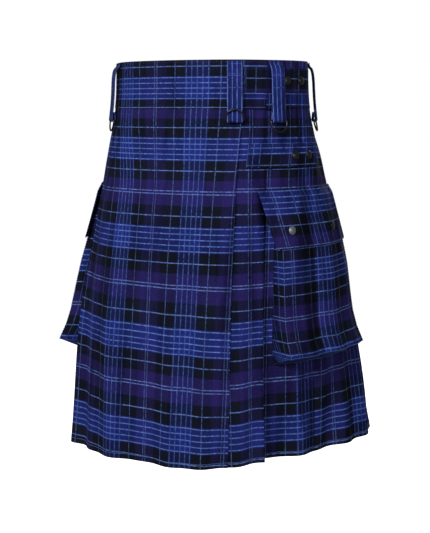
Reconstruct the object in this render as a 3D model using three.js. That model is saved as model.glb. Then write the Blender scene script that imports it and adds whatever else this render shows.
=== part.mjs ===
import * as THREE from 'three';

// A utility kilt as it is worn, hollow, in millimetres.
// +X is the wearer's left, -Y the front and +Z up. The origin is the middle of the waist,
// half way down the waistband. A place on the kilt is given by its station, the distance round
// from the middle of the front (positive to the wearer's left), its drop below the waistband's
// top edge, and how far it lies out of the plan outline.

// Sizes of the garment
const LENGTH = 616;
const BAND = 74;
const CLOTH = 1.6;
const BAND_CLOTH = 2.4;
const SEAM = 0.4;
const TOP_Z = BAND / 2;

// The plan outline at five levels. Each row gives the middle of the front, the front corners
// on the wearer's left and right, the sides, the rear corners and the middle of the back.
const LEVELS = [
  { drop: 0, front: 120, leftX: 105, leftY: -92, rightX: 105, rightY: -92, side: 163, sideY: 2, rearX: 106, rearY: 92, back: 120 },
  { drop: 74, front: 124, leftX: 108, leftY: -96, rightX: 107, rightY: -96, side: 167, sideY: 2, rearX: 112, rearY: 96, back: 126 },
  { drop: 200, front: 152, leftX: 121, leftY: -119, rightX: 122, rightY: -120, side: 188, sideY: 5, rearX: 150, rearY: 115, back: 163 },
  { drop: 400, front: 179, leftX: 122, leftY: -145, rightX: 141, rightY: -154, side: 202, sideY: 2, rearX: 190, rearY: 138, back: 205 },
  { drop: 616, front: 200, leftX: 118, leftY: -158, rightX: 157, rightY: -163, side: 210, sideY: -6, rearX: 230, rearY: 162, back: 236 },
];

// Upright edges of the panels: their stations at the waistband and at the hem
const EDGES = {
  apronRight: { waist: -192, hem: -181 },
  apronLeft: { waist: 109, hem: 120 },
  closing: { waist: 146, hem: 184 },
  closingUnder: { waist: 80, hem: 90 },
  underRight: { waist: -118, hem: -105 },
  underSeam: { waist: 74, hem: 84 },
  sideRightFront: { waist: -166, hem: -146 },
  sideBack: { waist: 332, hem: 510 },
};

// How far down the skirt the cloth has spread, 0 at the waistband and 1 at the hem
const spread = (drop) => Math.max(0, (drop - BAND) / (LENGTH - BAND));
const edgeAt = (edge, drop) => EDGES[edge].waist + (EDGES[edge].hem - EDGES[edge].waist) * spread(drop) ** 0.85;

// Soft folds that hang from the hips: station at the hem, half width, height out at the hem
// and the drop at which each begins
const FOLDS = [
  { station: -152, width: 20, height: -9, from: 150 },
  { station: -181, width: 15, height: 10, from: 180 },
  { station: -40, width: 30, height: -5, from: 260 },
  { station: 74, width: 26, height: 8, from: 240 },
  { station: 262, width: 22, height: 7, from: 430 },
  { station: 312, width: 20, height: -8, from: 400 },
  { station: 362, width: 24, height: 7, from: 380 },
  { station: -262, width: 24, height: 7, from: 430 },
  { station: -330, width: 26, height: -7, from: 400 },
];

const smooth = (x) => {
  const t = Math.min(1, Math.max(0, x));
  return t * t * (3 - 2 * t);
};

// Level rows are joined by a cubic through each column
function levelColumn(name, drop) {
  const last = LEVELS.length - 2;
  const found = LEVELS.findIndex((row, i) => i < last && drop <= LEVELS[i + 1].drop);
  const i = found < 0 ? last : found;
  const slope = (k) => {
    const a = LEVELS[Math.max(0, k - 1)];
    const b = LEVELS[Math.min(LEVELS.length - 1, k + 1)];
    return (b[name] - a[name]) / (b.drop - a.drop);
  };
  const [low, high] = [LEVELS[i], LEVELS[i + 1]];
  const step = high.drop - low.drop;
  const t = (drop - low.drop) / step;
  const keep = smooth(t);
  return low[name] * (1 - keep) + high[name] * keep
    + step * t * (1 - t) * ((1 - t) * slope(i) - t * slope(i + 1));
}

const outlines = new Map();
function outlineAt(drop) {
  const key = drop.toFixed(3);
  if (!outlines.has(key)) {
    const at = (name) => levelColumn(name, drop);
    const points = [
      [0, -at('front')],
      [at('leftX'), at('leftY')],
      [at('side'), at('sideY')],
      [at('rearX'), at('rearY')],
      [0, at('back')],
      [-at('rearX'), at('rearY')],
      [-at('side'), at('sideY')],
      [-at('rightX'), at('rightY')],
    ];
    const curve = new THREE.CatmullRomCurve3(
      points.map(([x, y]) => new THREE.Vector3(x, y, 0)), true, 'centripetal');
    curve.arcLengthDivisions = 400;
    outlines.set(key, { curve, length: curve.getLength() });
  }
  return outlines.get(key);
}

function foldHeight(station, drop) {
  let sum = 0;
  for (const fold of FOLDS) {
    const down = Math.max(0, (drop - fold.from) / (LENGTH - fold.from));
    const reach = (station - fold.station) / fold.width;
    sum += fold.height * down ** 1.2 * Math.exp(-reach * reach);
  }
  return sum;
}

// The point at a station and drop, so far out of the outline
function onBody(station, drop, out) {
  const { curve, length } = outlineAt(drop);
  const u = (((station / length) % 1) + 1) % 1;
  const place = curve.getPointAt(u);
  const along = curve.getTangentAt(u);
  const far = out + foldHeight(station > length / 2 ? station - length : station, drop);
  return new THREE.Vector3(place.x + along.y * far, place.y - along.x * far, TOP_Z - drop);
}

// Closed solid between two grids of points with the same rows and columns
function slab(outer, inner) {
  const rows = outer.length;
  const cols = outer[0].length;
  const points = [...outer.flat(), ...inner.flat()];
  const far = rows * cols;
  const faces = [];
  const quad = (a, b, c, d) => faces.push(a, b, c, a, c, d);
  const at = (i, j) => i * cols + j;
  for (let i = 0; i < rows - 1; i += 1) {
    for (let j = 0; j < cols - 1; j += 1) {
      quad(at(i, j), at(i + 1, j), at(i + 1, j + 1), at(i, j + 1));
      quad(far + at(i, j), far + at(i, j + 1), far + at(i + 1, j + 1), far + at(i + 1, j));
    }
  }
  for (let j = 0; j < cols - 1; j += 1) {
    quad(at(0, j), at(0, j + 1), far + at(0, j + 1), far + at(0, j));
    const end = at(rows - 1, j);
    quad(end, far + end, far + end + 1, end + 1);
  }
  for (let i = 0; i < rows - 1; i += 1) {
    quad(at(i, 0), far + at(i, 0), far + at(i + 1, 0), at(i + 1, 0));
    const side = at(i, cols - 1);
    quad(side, side + cols, far + side + cols, far + side);
  }
  const geometry = new THREE.BufferGeometry();
  geometry.setAttribute('position', new THREE.Float32BufferAttribute(points.flatMap((p) => [p.x, p.y, p.z]), 3));
  geometry.setIndex(faces);
  return geometry;
}

const spaced = (low, high, count) => Array.from({ length: count }, (_, i) => low + (high - low) * i / (count - 1));

// Materials
const finish = (color, roughness, metalness = 0) => new THREE.MeshStandardMaterial({ color, roughness, metalness });
const tartan = finish(0x27245f, 0.85);
const tartanDark = finish(0x1f1d4a, 0.85);
const gunmetal = finish(0x5d6066, 0.35, 1);

const kilt = new THREE.Group();
function add(name, geometry, material, holder = kilt) {
  const mesh = new THREE.Mesh(geometry, material);
  mesh.name = name;
  holder.add(mesh);
  return mesh;
}

// A cloth panel between two upright edges. inner gives how far out its inner face lies.
function panel({ from, to, cols, drops, inner, cloth }) {
  const grid = (extra) => drops.map((drop) => spaced(from(drop), to(drop), cols)
    .map((station) => onBody(station, drop, inner(station, drop) + extra)));
  return slab(grid(cloth), grid(0));
}

// How the layers lie: the apron on top, the closing panel under it, the sides and the under
// apron lowest. Down the skirt the apron stands further off what lies beneath it.
const LAYER = CLOTH + 0.6;
const APRON_STAND = 19;
const stand = (drop) => APRON_STAND * spread(drop) ** 1.6;
const closingInner = () => -LAYER;
const underInner = (station, drop) => -2 * LAYER - stand(drop);
const tuckRise = (drop) => 60 + 50 * spread(drop);
function sideInner(edge, drop, station) {
  const past = Math.abs(station) - Math.abs(edgeAt(edge, drop)) - 4;
  return underInner(station, drop) * (1 - smooth(past / tuckRise(drop)));
}
const leftSideInner = (station, drop) => sideInner('closing', drop, station);
const rightSideInner = (station, drop) => sideInner('apronRight', drop, station);

const SKIRT_TOP = BAND + SEAM;
const skirtDrops = [SKIRT_TOP, 112, 160, 220, 290, 370, 450, 535, LENGTH];

add('apron', panel({
  from: (drop) => edgeAt('apronRight', drop),
  to: (drop) => edgeAt('apronLeft', drop),
  cols: 27,
  drops: skirtDrops,
  inner: () => 0,
  cloth: CLOTH,
}), tartan);

add('closing_panel', panel({
  from: (drop) => edgeAt('closingUnder', drop),
  to: (drop) => edgeAt('closing', drop),
  cols: 10,
  drops: skirtDrops,
  inner: closingInner,
  cloth: CLOTH,
}), tartanDark);

add('under_apron', panel({
  from: (drop) => edgeAt('underRight', drop),
  to: (drop) => edgeAt('underSeam', drop),
  cols: 9,
  drops: skirtDrops,
  inner: underInner,
  cloth: CLOTH,
}), tartanDark);

add('side_left', panel({
  from: (drop) => edgeAt('underSeam', drop) + SEAM,
  to: (drop) => edgeAt('sideBack', drop),
  cols: 26,
  drops: skirtDrops,
  inner: leftSideInner,
  cloth: CLOTH,
}), tartan);

add('side_right', panel({
  from: (drop) => -edgeAt('sideBack', drop),
  to: (drop) => edgeAt('sideRightFront', drop),
  cols: 24,
  drops: skirtDrops,
  inner: rightSideInner,
  cloth: CLOTH,
}), tartan);

// The back panel hangs in knife pleats. Each row of the table is a point of one pleat: how far
// along its pitch it lies, how far that is moved on in fold radii or fold returns, and its
// height out of the panel as a share of the pleat's height.
const PLEATS = 10;
const PLEAT = [
  { along: 0.0, round: 0, back: 0, height: 0.0 },
  { along: 0.33, round: 0, back: 0, height: 0.36 },
  { along: 0.67, round: 0, back: 0, height: 0.7 },
  { along: 1.0, round: -1, back: 0, height: 1.0 },
  { along: 1.0, round: 0, back: 0, height: 0.76 },
  { along: 1.0, round: -1, back: 0, height: 0.52 },
  { along: 1.0, round: 0, back: 1, height: 0.48 },
  { along: 1.0, round: -1, back: 1, height: 0.24 },
  { along: 1.0, round: 0, back: 1, height: 0.0 },
];
const PLEAT_WALL = 1.4;

function pleatedBack() {
  const outer = [];
  const inner = [];
  for (const drop of skirtDrops) {
    const down = spread(drop);
    const start = edgeAt('sideBack', drop) + SEAM;
    const end = outlineAt(drop).length - start;
    const pitch = (end - start) / PLEATS;
    const height = 4.8 + 9 * down;
    const round = 1.1 + 1.4 * down;
    const back = 13 + 5 * down;
    const line = [];
    for (let k = 0; k < PLEATS; k += 1) {
      for (const row of PLEAT) {
        const station = start + pitch * (k + row.along) + round * row.round - back * row.back;
        line.push(onBody(station, drop, row.height * height - 1));
      }
    }
    line.push(onBody(end, drop, -1));
    const normals = line.map((p, i) => {
      const before = line[Math.max(0, i - 1)];
      const after = line[Math.min(line.length - 1, i + 1)];
      const a = p.clone().sub(before).setZ(0).normalize();
      const b = after.clone().sub(p).setZ(0).normalize();
      const along = a.clone().add(b).normalize();
      const mitre = Math.min(1.5, 1 / Math.max(0.5, i === 0 || i === line.length - 1 ? 1 : along.dot(b)));
      return new THREE.Vector3(along.y, -along.x, 0).multiplyScalar(mitre * PLEAT_WALL / 2);
    });
    outer.push(line.map((p, i) => p.clone().add(normals[i])));
    inner.push(line.map((p, i) => p.clone().sub(normals[i])));
  }
  return slab(outer, inner);
}
add('back_pleats', pleatedBack(), tartan);

// The waistband is one strip round the waist. Its end laps over its start across the front.
const bandDrops = [0, 25, 50, BAND];
const SIDE_SEAM = 227;
const UNDER_BAND = -(BAND_CLOTH + 0.6);
const bandStations = (drop) => [
  ...spaced(EDGES.underRight.waist, EDGES.closing.waist + 0.8, 16),
  ...spaced(EDGES.closing.waist + 4.5, outlineAt(drop).length - SIDE_SEAM - SEAM, 44),
];
const bandInner = (station) => (station > EDGES.closing.waist + 2 ? 0 : UNDER_BAND);
function bandGrid(extra) {
  return bandDrops.map((drop) => bandStations(drop)
    .map((station) => onBody(station, drop, bandInner(station) + extra)));
}
add('waistband', slab(bandGrid(BAND_CLOTH), bandGrid(0)), tartan);
add('waistband_over', panel({
  from: () => -SIDE_SEAM,
  to: () => EDGES.closing.waist,
  cols: 32,
  drops: bandDrops,
  inner: () => 0,
  cloth: BAND_CLOTH,
}), tartan);

// Two tabs cross from the closing panel to the left side and snap there
const TABS = [
  { name: 'waist_tab', from: 110, to: 232, top: 12, height: 37, out: 2.8, rise: 0, studs: [180, 208] },
  { name: 'hip_tab', from: 124, to: 258, top: 126, height: 36, out: 0.1, rise: 2.1, studs: [206, 236] },
];
const TAB_CLOTH = 2;
const tabInner = (tab, station) => tab.out + tab.rise * smooth((station - tab.from) / 80);

for (const tab of TABS) {
  add(tab.name, panel({
    from: () => tab.from,
    to: () => tab.to,
    cols: 14,
    drops: spaced(tab.top, tab.top + tab.height, 3),
    inner: (station) => tabInner(tab, station),
    cloth: TAB_CLOTH,
  }), tartanDark);
}

// Snap caps, low domes on the tabs and the pocket flaps
const STUD = { radius: 6.8, height: 2.6, clear: 0.9, sides: 14 };
function studShape() {
  const { radius, height } = STUD;
  const profile = [[0, 0], [radius, 0], [radius, 0.7], [radius * 0.8, height * 0.75], [radius * 0.42, height], [0, height]];
  return new THREE.LatheGeometry(profile.map(([x, y]) => new THREE.Vector2(x, y)), STUD.sides);
}
function addStud(name, station, drop, out) {
  const foot = onBody(station, drop, out);
  const ahead = onBody(station + 5, drop, out).sub(onBody(station - 5, drop, out));
  const down = onBody(station, drop + 5, out).sub(onBody(station, drop - 5, out));
  const outward = new THREE.Vector3().crossVectors(down, ahead).normalize();
  const stud = add(name, studShape(), gunmetal);
  stud.position.copy(foot).addScaledVector(outward, STUD.clear);
  stud.quaternion.setFromUnitVectors(new THREE.Vector3(0, 1, 0), outward);
}
for (const tab of TABS) {
  tab.studs.forEach((station, i) => {
    addStud(`${tab.name}_stud_${i + 1}`, station, tab.top + tab.height / 2, tabInner(tab, station) + TAB_CLOTH);
  });
}

// Belt straps stand off the waistband and fold round a ring's bar at the foot. Heights are out
// of the plan outline, drops are below the top edge.
const STRAP = { width: 23, cloth: 2, stand: 10, top: 2, sewn: 7, bend: 13, leg: 62, foot: 71, bar: 91, barOut: 7.8 };
const RING = { wire: 2.6, inside: 25, side: 4, sections: 8 };
const BAR_SLEEVE = RING.wire / 2 + 0.35;

// The strap's section from the side, x out of the waistband and y up. lean gives how far out
// the garment lies at a drop, since the strap follows it.
function strapShape(hasRing, lean) {
  const { cloth, stand: off, top, sewn, bend, leg, foot, bar } = STRAP;
  const lie = BAND_CLOTH + SEAM;
  const wrap = BAR_SLEEVE + cloth;
  const at = ([out, drop]) => [out + lean(drop), drop];
  const points = [[lie + cloth, top], [lie + cloth, sewn], [off + cloth, bend], [off + cloth, leg]].map(at);
  const barOut = STRAP.barOut + lean(bar);
  if (hasRing) {
    for (const turn of spaced(0, Math.PI, 7)) {
      points.push([barOut + wrap * Math.cos(turn), bar + wrap * Math.sin(turn)]);
    }
    points.push([barOut - wrap, bar - 12], [barOut + 1, bar - 16]);
  } else {
    points.push(...[[lie + cloth, leg + 5], [lie + cloth, foot], [lie, foot], [lie, leg + 4]].map(at));
  }
  points.push(...[[off, leg - 1], [off, bend + 1], [lie, sewn + 1], [lie, top]].map(at));
  const shape = new THREE.Shape(points.map(([x, y]) => new THREE.Vector2(x, -y)));
  if (hasRing) {
    const turns = spaced(0, Math.PI * 2, 11).slice(1);
    shape.holes.push(new THREE.Path(turns.map((turn) => new THREE.Vector2(
      barOut + BAR_SLEEVE * Math.cos(turn), -bar + BAR_SLEEVE * Math.sin(turn)))));
  }
  return shape;
}

// A D ring round its bar: the loop's points in its own plane, x across and y away from the bar
function ringLoop() {
  const half = (RING.inside + RING.wire) / 2;
  const corner = 2.4;
  const points = [];
  for (const turn of spaced(0, Math.PI / 2, 4)) {
    points.push([half - corner + corner * Math.sin(turn), corner - corner * Math.cos(turn)]);
  }
  for (const turn of spaced(0, Math.PI, 13)) {
    points.push([half * Math.cos(turn), RING.side + half * Math.sin(turn)]);
  }
  for (const turn of spaced(0, Math.PI / 2, 4)) {
    points.push([-half + corner - corner * Math.cos(turn), corner - corner * Math.sin(turn)]);
  }
  return points.map(([x, y]) => new THREE.Vector3(x, y, 0));
}

function ringShape() {
  const loop = ringLoop();
  const count = loop.length;
  const rows = [];
  const upright = new THREE.Vector3(0, 0, 1);
  for (let i = 0; i < count; i += 1) {
    const before = loop[(i + count - 1) % count];
    const after = loop[(i + 1) % count];
    const along = after.clone().sub(before).normalize();
    const side = new THREE.Vector3().crossVectors(along, upright);
    for (let k = 0; k < RING.sections; k += 1) {
      const turn = (k + 0.5) / RING.sections * Math.PI * 2;
      rows.push(loop[i].clone()
        .addScaledVector(side, RING.wire / 2 * Math.cos(turn))
        .addScaledVector(upright, RING.wire / 2 * Math.sin(turn)));
    }
  }
  const faces = [];
  for (let i = 0; i < count; i += 1) {
    for (let k = 0; k < RING.sections; k += 1) {
      const a = i * RING.sections + k;
      const b = i * RING.sections + (k + 1) % RING.sections;
      const c = ((i + 1) % count) * RING.sections + (k + 1) % RING.sections;
      const d = ((i + 1) % count) * RING.sections + k;
      faces.push(a, c, b, a, d, c);
    }
  }
  const geometry = new THREE.BufferGeometry();
  geometry.setAttribute('position', new THREE.Float32BufferAttribute(rows.flatMap((p) => [p.x, p.y, p.z]), 3));
  geometry.setIndex(faces);
  return geometry;
}

// Straps round the waist. A ring hangs at 0 degrees; one is turned up against its strap.
const STRAPS = [
  { name: 'front', station: 96, ring: true, turned: 160 },
  { name: 'front_side', station: 161, ring: true, turned: 8 },
  { name: 'left_side', station: 268, ring: true, turned: 14 },
  { name: 'right_front', station: -135, ring: true, turned: 8 },
  { name: 'right_side', station: -272, ring: false, turned: 0 },
  { name: 'back_left', station: 366, ring: false, turned: 0 },
  { name: 'back_right', station: -366, ring: false, turned: 0 },
];

for (const strap of STRAPS) {
  const middle = onBody(strap.station, BAND / 2, 0);
  const ahead = onBody(strap.station + 6, BAND / 2, 0).sub(onBody(strap.station - 6, BAND / 2, 0));
  const holder = new THREE.Group();
  holder.position.set(middle.x, middle.y, TOP_Z);
  holder.rotation.z = Math.atan2(ahead.y, ahead.x);
  kilt.add(holder);
  const outward = new THREE.Vector3(ahead.y, -ahead.x, 0).normalize();
  const lean = (drop) => onBody(strap.station, drop, 0).sub(middle).dot(outward);
  const body = new THREE.ExtrudeGeometry(strapShape(strap.ring, lean), { depth: STRAP.width, bevelEnabled: false });
  body.translate(0, 0, -STRAP.width / 2);
  body.applyMatrix4(new THREE.Matrix4().makeBasis(
    new THREE.Vector3(0, -1, 0), new THREE.Vector3(0, 0, 1), new THREE.Vector3(-1, 0, 0)));
  add(`strap_${strap.name}`, body, tartanDark, holder);
  if (strap.ring) {
    const ring = add(`ring_${strap.name}`, ringShape(), gunmetal, holder);
    ring.position.set(0, -STRAP.barOut - lean(STRAP.bar), -STRAP.bar);
    ring.rotation.x = -Math.PI / 2 - THREE.MathUtils.degToRad(strap.turned);
  }
}

// Cargo pockets: a tray sewn to the side panel along its sides and bottom, open at the top, and
// a flap over its mouth. Across is the distance from the pocket's middle, down from its top.
const POCKET = { width: 176, top: 210, height: 256, cloth: 1.6, base: 17, lean: 0, shift: 4, corner: 8, seat: 1.1 };
const FLAP = { width: 192, top: 194, height: 90, cloth: 2, studs: [-60, 34], studUp: 27 };
const POCKETS = [
  { name: 'left', side: 1, edge: 'closing', gap: 21, inner: leftSideInner, flapShift: -26 },
  { name: 'right', side: -1, edge: 'apronRight', gap: 5, inner: rightSideInner, flapShift: 0 },
];

// How far the bag's front stands out, down from its top: it fills towards the foot, where its
// bottom edge flares
const BAG_DEPTH = [[0, 2.4], [70, 9], [113, 13], [160, 15], [190, 17], [215, 22], [239, 31]];
function pocketOut(down) {
  const last = BAG_DEPTH.length - 2;
  const found = BAG_DEPTH.findIndex((row, i) => i < last && down <= BAG_DEPTH[i + 1][0]);
  const [low, high] = BAG_DEPTH.slice(found < 0 ? last : found, (found < 0 ? last : found) + 2);
  const share = Math.min(1, Math.max(0, (down - low[0]) / (high[0] - low[0])));
  return low[1] + (high[1] - low[1]) * share;
}

function pocketStation(pocket, across, drop) {
  const middle = Math.abs(edgeAt(pocket.edge, drop)) + pocket.gap + POCKET.width / 2;
  return pocket.side * middle + across;
}

// The bag's sewn edges lie on the panel under them, and its front keeps to the kilt's own round
function bagPoint(pocket, across, down, out) {
  const drop = POCKET.top + down;
  const station = pocketStation(pocket, across, drop);
  const under = out > 0 ? 0 : pocket.inner(station, drop);
  return onBody(station, drop, under + CLOTH + POCKET.seat + out);
}

function bagShape(pocket) {
  const half = POCKET.width / 2;
  const grid = (inset, less) => {
    const reach = half - POCKET.lean - inset;
    const shift = POCKET.shift * pocket.side;
    const face = spaced(shift - reach, shift + reach, 9);
    const columns = [-(half - inset), ...face, half - inset];
    const edge = POCKET.height - POCKET.base - inset;
    const downs = [0, 40, 80, 120, 160, 190, 215, edge, POCKET.height - inset];
    return downs.map((down, i) => columns.map((across, j) => {
      const side = j === 0 || j === columns.length - 1;
      const floor = i === downs.length - 1;
      const cut = side && floor ? POCKET.corner : 0;
      const out = side || floor ? 0 : pocketOut(down) - less;
      return bagPoint(pocket, across - Math.sign(across) * cut, down - cut / 2, out);
    }));
  };
  return slab(grid(0, 0), grid(POCKET.cloth, POCKET.cloth));
}

// The flap lies on the side panel along its top, then over the bag's mouth
function flapPlace(pocket, across, down) {
  const drop = FLAP.top + down;
  const share = down / FLAP.height;
  const clear = (pocketOut(drop - POCKET.top) + POCKET.seat + 1) * smooth(down / 16);
  const station = pocketStation(pocket, across + pocket.flapShift * (1 - share), drop);
  return { station, drop, out: CLOTH + SEAM + clear };
}

function flapShape(pocket) {
  const half = FLAP.width / 2;
  const grid = (extra) => spaced(0, FLAP.height, 7).map((down) => spaced(-half, half, 11).map((across) => {
    const { station, drop, out } = flapPlace(pocket, across, down);
    return onBody(station, drop, out + extra);
  }));
  return slab(grid(FLAP.cloth), grid(0));
}

for (const pocket of POCKETS) {
  add(`pocket_bag_${pocket.name}`, bagShape(pocket), tartan);
  add(`pocket_flap_${pocket.name}`, flapShape(pocket), tartanDark);
  FLAP.studs.forEach((across, i) => {
    const { station, drop, out } = flapPlace(pocket, pocket.side * across, FLAP.height - FLAP.studUp);
    addStud(`flap_${pocket.name}_stud_${i + 1}`, station, drop, out + FLAP.cloth);
  });
}

export default kilt;
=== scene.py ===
import math

import bmesh
import bpy
import numpy as np
from mathutils import Matrix, Vector


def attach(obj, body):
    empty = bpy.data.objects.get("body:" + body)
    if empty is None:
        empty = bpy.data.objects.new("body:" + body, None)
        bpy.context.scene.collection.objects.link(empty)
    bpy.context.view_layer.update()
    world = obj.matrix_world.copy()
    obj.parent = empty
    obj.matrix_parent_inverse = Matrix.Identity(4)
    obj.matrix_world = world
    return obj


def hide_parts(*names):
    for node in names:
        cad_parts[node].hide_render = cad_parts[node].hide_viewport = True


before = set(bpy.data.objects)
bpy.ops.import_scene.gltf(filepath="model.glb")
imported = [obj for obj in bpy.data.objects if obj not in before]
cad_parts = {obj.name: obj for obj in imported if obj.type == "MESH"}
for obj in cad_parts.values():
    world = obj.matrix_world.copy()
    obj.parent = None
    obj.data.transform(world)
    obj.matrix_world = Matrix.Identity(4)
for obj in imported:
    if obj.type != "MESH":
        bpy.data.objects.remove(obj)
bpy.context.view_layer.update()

# The garment's outline. A utility kilt hangs from the waist as one wide tube of twill cloth.
# A place on it is a station (millimetres round from the middle of the front, positive to the
# wearer's left), a drop below the waistband's top edge, and how far it lies out.
LENGTH = 616
BAND = 74
CLOTH = 1.6
BAND_CLOTH = 2.4
SEAM = 0.4
LEVEL_DROPS = [0, 74, 200, 400, 616]
LEVELS = {
    "front": [120, 124, 152, 179, 200],
    "left_x": [105, 108, 121, 122, 118],
    "left_y": [-92, -96, -119, -145, -158],
    "right_x": [105, 107, 122, 141, 157],
    "right_y": [-92, -96, -120, -154, -163],
    "side": [163, 167, 188, 202, 210],
    "side_y": [2, 2, 5, 2, -6],
    "rear_x": [106, 112, 150, 190, 230],
    "rear_y": [92, 96, 115, 138, 162],
    "back": [120, 126, 163, 205, 236],
}
EDGES = {
    "apron_right": (-192, -181),
    "apron_left": (109, 120),
    "closing": (146, 184),
    "closing_under": (80, 90),
    "under_right": (-118, -105),
    "under_seam": (74, 84),
    "side_right_front": (-166, -146),
    "side_back": (332, 510),
}
# station at the hem, half width, height out at the hem, drop where the fold begins
FOLDS = [
    (-152, 20, -9, 150),
    (-181, 15, 10, 180),
    (-40, 30, -5, 260),
    (74, 26, 8, 240),
    (262, 22, 7, 430),
    (312, 20, -8, 400),
    (362, 24, 7, 380),
    (-262, 24, 7, 430),
    (-330, 26, -7, 400),
]


def spread(drop):
    return max(0.0, (drop - BAND) / (LENGTH - BAND))


def edge_at(name, drop):
    waist, hem = EDGES[name]
    return waist + (hem - waist) * spread(drop) ** 0.85


def smooth(x):
    t = np.clip(x, 0, 1)
    return t * t * (3 - 2 * t)


def level(name, drop):
    values = LEVELS[name]
    last = len(LEVEL_DROPS) - 2
    i = next((k for k in range(last) if drop <= LEVEL_DROPS[k + 1]), last)

    def slope(k):
        a, b = max(0, k - 1), min(last + 1, k + 1)
        return (values[b] - values[a]) / (LEVEL_DROPS[b] - LEVEL_DROPS[a])

    step = LEVEL_DROPS[i + 1] - LEVEL_DROPS[i]
    t = (drop - LEVEL_DROPS[i]) / step
    keep = t * t * (3 - 2 * t)
    bend = step * t * (1 - t) * ((1 - t) * slope(i) - t * slope(i + 1))
    return values[i] * (1 - keep) + values[i + 1] * keep + bend


OUTLINE_STEPS = 200
outlines = {}


# The garment's section at a drop, a smooth loop through eight points: how far along the loop
# each of its places lies, where it is, and which way the loop heads there
def outline(drop):
    key = round(drop, 3)
    if key in outlines:
        return outlines[key]
    at = {name: level(name, drop) for name in LEVELS}
    corners = np.array([
        (0, -at["front"]),
        (at["left_x"], at["left_y"]),
        (at["side"], at["side_y"]),
        (at["rear_x"], at["rear_y"]),
        (0, at["back"]),
        (-at["rear_x"], at["rear_y"]),
        (-at["side"], at["side_y"]),
        (-at["right_x"], at["right_y"]),
    ])
    t = (np.arange(OUTLINE_STEPS) / OUTLINE_STEPS)[:, None]
    pieces = []
    for i in range(8):
        p0, p1, p2, p3 = (corners[(i + k) % 8] for k in (-1, 0, 1, 2))
        d0, d1, d2 = (np.linalg.norm(b - a) ** 0.5 for a, b in ((p0, p1), (p1, p2), (p2, p3)))
        leave = ((p1 - p0) / d0 - (p2 - p0) / (d0 + d1) + (p2 - p1) / d1) * d1
        arrive = ((p2 - p1) / d1 - (p3 - p1) / (d1 + d2) + (p3 - p2) / d2) * d1
        square = -3 * p1 + 3 * p2 - 2 * leave - arrive
        cube = 2 * p1 - 2 * p2 + leave + arrive
        pieces.append(p1 + leave * t + square * t**2 + cube * t**3)
    line = np.vstack([*pieces, corners[:1]])
    along = np.concatenate([[0], np.cumsum(np.linalg.norm(np.diff(line, axis=0), axis=1))])
    heading = np.gradient(np.vstack([line[-2], line, line[1]]), axis=0)[1:-1]
    heading /= np.linalg.norm(heading, axis=1)[:, None]
    outlines[key] = (along, line, heading)
    return outlines[key]


def girth(drop):
    return outline(drop)[0][-1]


# The hang of the twill: every layer shares it, so none cuts another. It is nearly flat on the
# waistband, gathers a little below it, and falls in soft folds of a few millimetres to the hem.
# Each wave is given by its height in millimetres and by how fast it turns round and down.
GATHER_TOP = 98
GATHER_MIDDLE = 118
FALL_TOP = 150


def hang(station, drop):
    near_band = 0.45 * np.sin(station / 17 + drop / 61)
    near_band = near_band + 0.4 * np.sin(station / 9.5 - drop / 83 + 1.7)
    far = (0.25 + 0.75 * spread(drop)) * (near_band + 0.35 * np.sin(drop / 37 + station / 71))
    gather = float(smooth((drop - GATHER_TOP) / 25)) * math.exp(-(((drop - GATHER_MIDDLE) / 60) ** 2))
    far = far + 0.8 * gather * np.sin(station / 6.3 + 0.9 * np.sin(station / 31) + drop / 45)
    fall = float(smooth((drop - FALL_TOP) / 380))
    folds = 3.2 * np.sin(station / 15.5 + 0.8 * math.sin(drop / 140) + 0.4)
    folds = folds + 2.0 * np.sin(station / 8.7 - drop / 210 + 1.1)
    return far + fall * (folds + 1.8 * np.sin(station / 26 + drop / 120))


def on_body(station, drop, out=0.0):
    station = np.atleast_1d(np.asarray(station, float))
    along, line, heading = outline(drop)
    turn = along[-1]
    place = station % turn
    x = np.interp(place, along, line[:, 0])
    y = np.interp(place, along, line[:, 1])
    ahead_x = np.interp(place, along, heading[:, 0])
    ahead_y = np.interp(place, along, heading[:, 1])
    near = np.where(place > turn / 2, place - turn, place)
    far = out + hang(near, drop)
    for middle, width, height, begin in FOLDS:
        down = max(0.0, (drop - begin) / (LENGTH - begin))
        far = far + height * down**1.2 * np.exp(-(((near - middle) / width) ** 2))
    return np.stack([x + ahead_y * far, y - ahead_x * far, np.full_like(x, BAND / 2 - drop)], 1)


# Tartan twill: a 2/2 wool-look twill woven in deep purple, near black and royal blue, checked
# by light blue lines. It looks matt and a little hairy, so it has hardly any gloss. The sett
# repeats each 140 mm and mirrors about its middle: a pair of lines, a lone line at 35 mm, and
# five lines about the middle at 70 mm.
SETT_HALF = 70
PURPLE_END, BLACK_START, BLACK_END, BLUE_START = 19, 20.2, 50.4, 51.6
PAIR, LONE, FIRST_OF_FIVE, NEXT_OF_FIVE = 2.3, 35, 53, 61.5
LINE_WIDTH = 1.15
LINE_BLUR_OUT, LINE_BLUR_IN = 0.4, 0.3
TWILL_PITCH = 1.3


def linear(code):
    values = [int(code[i:i + 2], 16) / 255 for i in (1, 3, 5)]
    return (*[v / 12.92 if v <= 0.04045 else ((v + 0.055) / 1.055) ** 2.4 for v in values], 1)


def add_node(tree, kind, settings=None, **links):
    node = tree.nodes.new(kind)
    for name, value in (settings or {}).items():
        if isinstance(name, str):
            setattr(node, name, value)
        else:
            node.inputs[name].default_value = value
    for name, value in links.items():
        key = int(name[1:]) if name[1:].isdigit() else name.replace("_", " ")
        if isinstance(value, bpy.types.NodeSocket):
            tree.links.new(value, node.inputs[key])
        else:
            node.inputs[key].default_value = value
    return node


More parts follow.
